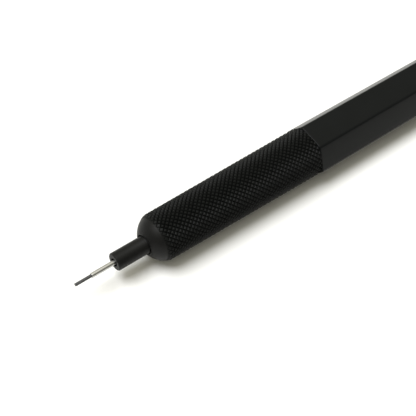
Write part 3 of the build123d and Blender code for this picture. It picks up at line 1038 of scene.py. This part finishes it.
def spring_nodes():
    """A coil of round wire along the pencil's axis."""
    tree = bpy.data.node_groups.new("wire_coil", "GeometryNodeTree")
    given = {}
    for title, kind in (
        ("Front", "Vector"), ("Length", "Float"), ("Coil Radius", "Float"), ("Wire Radius", "Float"),
        ("Turns", "Float"), ("Finish", "Material"),
    ):
        given[title] = tree.interface.new_socket(title, in_out="INPUT", socket_type="NodeSocket" + kind)
    tree.interface.new_socket("Geometry", in_out="OUTPUT", socket_type="NodeSocketGeometry")
    inputs = tree.nodes.new("NodeGroupInput").outputs
    coil = add_node(
        tree,
        "GeometryNodeCurveSpiral",
        {
            "Resolution": 28, "Rotations": inputs["Turns"], "Start Radius": inputs["Coil Radius"],
            "End Radius": inputs["Coil Radius"], "Height": inputs["Length"],
        },
    )
    laid = add_node(
        tree,
        "GeometryNodeTransform",
        {"Geometry": coil.outputs[0], "Translation": inputs["Front"], "Rotation": (0, math.pi / 2, 0)},
    )
    section = add_node(
        tree,
        "GeometryNodeCurvePrimitiveCircle",
        {"Resolution": 10, "Radius": inputs["Wire Radius"]},
    )
    wire = add_node(
        tree,
        "GeometryNodeCurveToMesh",
        {"Curve": laid.outputs[0], "Profile Curve": section.outputs[0], "Fill Caps": True},
    )
    whole = add_node(tree, "GeometryNodeRealizeInstances", {"Geometry": wire.outputs[0]})
    finished = add_node(
        tree,
        "GeometryNodeSetMaterial",
        {"Geometry": whole.outputs[0], "Material": inputs["Finish"]},
    )
    output = tree.nodes.new("NodeGroupOutput")
    tree.links.new(finished.outputs[0], output.inputs[0])
    return tree, {title: socket.identifier for title, socket in given.items()}


spring_tree, spring_inputs = spring_nodes()
carrier = new_object("coil", bpy.data.meshes.new("coil"))
modifier = carrier.modifiers.new("coil", "NODES")
modifier.node_group = spring_tree
spring_front = spring_low.x + WIRE_R * MM
for title, value in {
    "Front": (spring_front, 0.0, AXIS_HEIGHT),
    "Length": spring_high.x - spring_low.x - 2 * WIRE_R * MM,
    "Coil Radius": SPRING_R * MM,
    "Wire Radius": WIRE_R * MM,
    "Turns": float(SPRING_TURNS),
    "Finish": steel,
}.items():
    modifier[spring_inputs[title]] = value
spring = new_object("wire_spring", plain_copy(carrier, "wire_spring"))
spring.data.shade_smooth()
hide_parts("chuck_spring")
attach(spring, "carrier")
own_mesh(spring)

# ==== The table and the light ===================================================================
# A seamless white table. A wide diffused lamp stands high behind the point, on the left, and the
# room gives a soft light from above that fades towards the front. All round it is plain white.

TABLE = 4.0                 # half the table's side, in metres
KEY_FROM = Vector((-0.19, 0.165, 0.55))
KEY_WIDTH = math.radians(33)
ROOM_FROM = (-0.13, 0.4, 0.9)
ROOM_WARMTH = (1.0, 0.97, 0.8)
WHITE = (1.0, 1.0, 1.0)
table_mesh = bpy.data.meshes.new("table")
table_mesh.from_pydata(
    [(-TABLE, -TABLE, 0), (TABLE, -TABLE, 0), (TABLE, TABLE, 0), (-TABLE, TABLE, 0)],
    [],
    [(0, 1, 2, 3)],
)
table = new_object("table", table_mesh)
paper, tree, shader = new_finish("white_paper", Roughness=0.9, Specular_IOR_Level=0.0)
fibre = noise(tree, object_place(tree), scale=300.0, detail=2.0)
coloured(tree, shader, fibre, dark=(0.9, 0.9, 0.9), light=(0.93, 0.93, 0.93))
table_mesh.materials.append(paper)

key_data = bpy.data.lights.new("key_lamp", "SUN")
key_data.energy = 3.05
key_data.angle = KEY_WIDTH
key_data.color = (0.97, 0.98, 1.0)
key = bpy.data.objects.new("key_lamp", key_data)
bpy.context.scene.collection.objects.link(key)
key.rotation_euler = (-KEY_FROM).to_track_quat("-Z", "Y").to_euler()

sky = bpy.data.worlds.new("studio")
bpy.context.scene.world = sky
sky.use_nodes = True
tree = sky.node_tree
heading = add_node(tree, "ShaderNodeTexCoord").outputs["Generated"]
upward = add_node(tree, "ShaderNodeVectorMath", {0: heading, 1: ROOM_FROM}, operation="DOT_PRODUCT")
glow = add_node(
    tree,
    "ShaderNodeMapRange",
    {
        "Value": upward.outputs["Value"],
        "From Min": 0.4, "From Max": 0.8, "To Min": 0.18, "To Max": 0.85,
    },
)
backdrop = add_node(tree, "ShaderNodeLightPath").outputs["Is Camera Ray"]
strength = add_node(tree, "ShaderNodeMix", {"Factor": backdrop, "A": glow.outputs[0], "B": 1.0})
background = tree.nodes["Background"]
tree.links.new(two_tones(tree, backdrop, ROOM_WARMTH, WHITE), background.inputs["Color"])
tree.links.new(strength.outputs[0], background.inputs["Strength"])

# ==== The camera ================================================================================
# A long lens above and in front of the point, turned a little on its side.

CAMERA_AIM = Vector((along(24.43), 0, AXIS_HEIGHT))
CAMERA_FROM = Vector((-0.11044, -0.05045, 0.12748))
CAMERA_ROLL = math.radians(16.47)
camera_data = bpy.data.cameras.new("camera")
camera_data.lens = 82.8
camera_data.sensor_width = 36.0
camera_data.clip_start = 0.005
camera = bpy.data.objects.new("camera", camera_data)
bpy.context.scene.collection.objects.link(camera)
camera.location = CAMERA_FROM
look = (CAMERA_AIM - CAMERA_FROM).to_track_quat("-Z", "Y").to_matrix()
camera.rotation_euler = look.to_euler()
camera.rotation_euler.rotate_axis("Z", CAMERA_ROLL)
bpy.context.scene.camera = camera
bpy.context.scene.view_settings.view_transform = "Standard"
